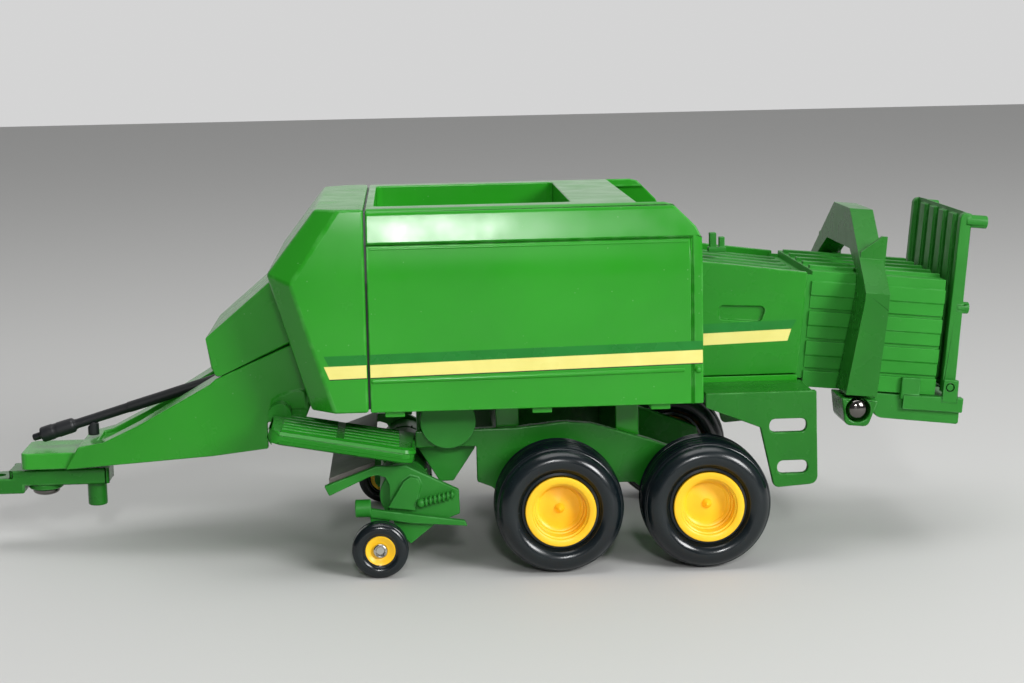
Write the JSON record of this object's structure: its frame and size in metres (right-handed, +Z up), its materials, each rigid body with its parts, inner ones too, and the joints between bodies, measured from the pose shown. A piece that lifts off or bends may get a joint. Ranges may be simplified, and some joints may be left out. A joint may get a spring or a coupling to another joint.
{
  "type": "toy square baler",
  "caption": "Die-cast toy of a towed tandem-axle square baler: sloping hood with roof tray, pickup, bale chamber, folding chute and swinging drawbar.",
  "frame": {"origin": "on the floor, under the middle of the bounding box", "axes": "+X forwards to the drawbar eye, +Y to the machine's left, +Z up"},
  "size_m": [0.267, 0.092, 0.0935],
  "materials": {
    "green_paint": "gloss",
    "bright_green_plastic": "gloss",
    "green_plastic": "satin",
    "yellow_plastic": "gloss",
    "tyre_rubber": "satin",
    "black_plastic": "satin",
    "bright_steel": "bright",
    "grey_plastic": "satin"
  },
  "bodies": {
    "baler": {"front_cap": "bright_green_plastic", "main_hood": "green_paint", "nose_shield": "bright_green_plastic", "tongue": "bright_green_plastic", "hitch_rivet": "bright_steel", "pto_shaft": "black_plastic", "pto_support": "black_plastic", "base_plate": "green_paint", "feeder_housing": "green_plastic", "housing_deck": "green_plastic", "housing_floor": "green_paint", "needle_stop": "green_plastic", "bale_chamber": "green_paint", "tension_yoke": "green_plastic", "chute_sill": "green_plastic", "chute_pin": "green_plastic", "front_axle": "bright_steel", "rear_axle": "bright_steel", "step_left": "green_plastic", "side_beam_left": "green_paint", "flywheel_guard_left": "green_plastic", "rear_panel_left": "green_plastic", "ladder_left": "green_plastic", "yoke_bracket_left": "green_plastic", "yoke_rivet_left": "bright_steel", "step_right": "green_plastic", "side_beam_right": "green_paint", "flywheel_guard_right": "green_plastic", "rear_panel_right": "green_plastic", "ladder_right": "green_plastic", "yoke_bracket_right": "green_plastic", "yoke_rivet_right": "bright_steel"},
    "drawbar": {"drawbar": "bright_green_plastic"},
    "chute": {"chute": "green_plastic"},
    "pickup": {"pickup_reel": "green_plastic", "wind_guard": "grey_plastic", "pickup_skid": "green_plastic", "pickup_side_left": "green_plastic", "gauge_arm_left": "green_plastic", "pickup_spring_left": "green_plastic", "rivet_gauge_left": "bright_steel", "pickup_side_right": "green_plastic", "gauge_arm_right": "green_plastic", "pickup_spring_right": "green_plastic", "rivet_gauge_right": "bright_steel"},
    "front_left_wheel": {"tyre_front_left": "tyre_rubber", "rim_front_left": "yellow_plastic"},
    "front_right_wheel": {"tyre_front_right": "tyre_rubber", "rim_front_right": "yellow_plastic"},
    "rear_left_wheel": {"tyre_rear_left": "tyre_rubber", "rim_rear_left": "yellow_plastic"},
    "rear_right_wheel": {"tyre_rear_right": "tyre_rubber", "rim_rear_right": "yellow_plastic"},
    "gauge_left_wheel": {"tyre_gauge_left": "tyre_rubber", "rim_gauge_left": "yellow_plastic"},
    "gauge_right_wheel": {"tyre_gauge_right": "tyre_rubber", "rim_gauge_right": "yellow_plastic"}
  },
  "joints": [
    {"name": "front_left_spin", "type": "hinge", "parent": "baler", "child": "front_left_wheel", "pos_m": [-0.01953, 0.037, 0.0165], "axis": [0, 1, 0], "continuous": true},
    {"name": "front_right_spin", "type": "hinge", "parent": "baler", "child": "front_right_wheel", "pos_m": [-0.01953, -0.037, 0.0165], "axis": [0, 1, 0], "continuous": true},
    {"name": "rear_left_spin", "type": "hinge", "parent": "baler", "child": "rear_left_wheel", "pos_m": [-0.05713, 0.037, 0.0165], "axis": [0, 1, 0], "continuous": true},
    {"name": "rear_right_spin", "type": "hinge", "parent": "baler", "child": "rear_right_wheel", "pos_m": [-0.05713, -0.037, 0.0165], "axis": [0, 1, 0], "continuous": true},
    {"name": "gauge_left_spin", "type": "hinge", "parent": "pickup", "child": "gauge_left_wheel", "pos_m": [0.02617, 0.041, 0.0073], "axis": [0, 1, 0], "continuous": true},
    {"name": "gauge_right_spin", "type": "hinge", "parent": "pickup", "child": "gauge_right_wheel", "pos_m": [0.02617, -0.041, 0.0073], "axis": [0, 1, 0], "continuous": true},
    {"name": "drawbar_swing", "type": "hinge", "parent": "baler", "child": "drawbar", "pos_m": [0.11647, 0, 0.0226], "axis": [0, 0, 1], "range_deg": [-25, 25]},
    {"name": "chute_fold", "type": "hinge", "parent": "baler", "child": "chute", "pos_m": [-0.12356, 0, 0.04188], "axis": [0, -1, 0], "range_deg": [0, 85]},
    {"name": "pickup_lift", "type": "hinge", "parent": "baler", "child": "pickup", "pos_m": [0.00747, 0, 0.0286], "axis": [0, -1, 0], "range_deg": [0, 6]}
  ]
}
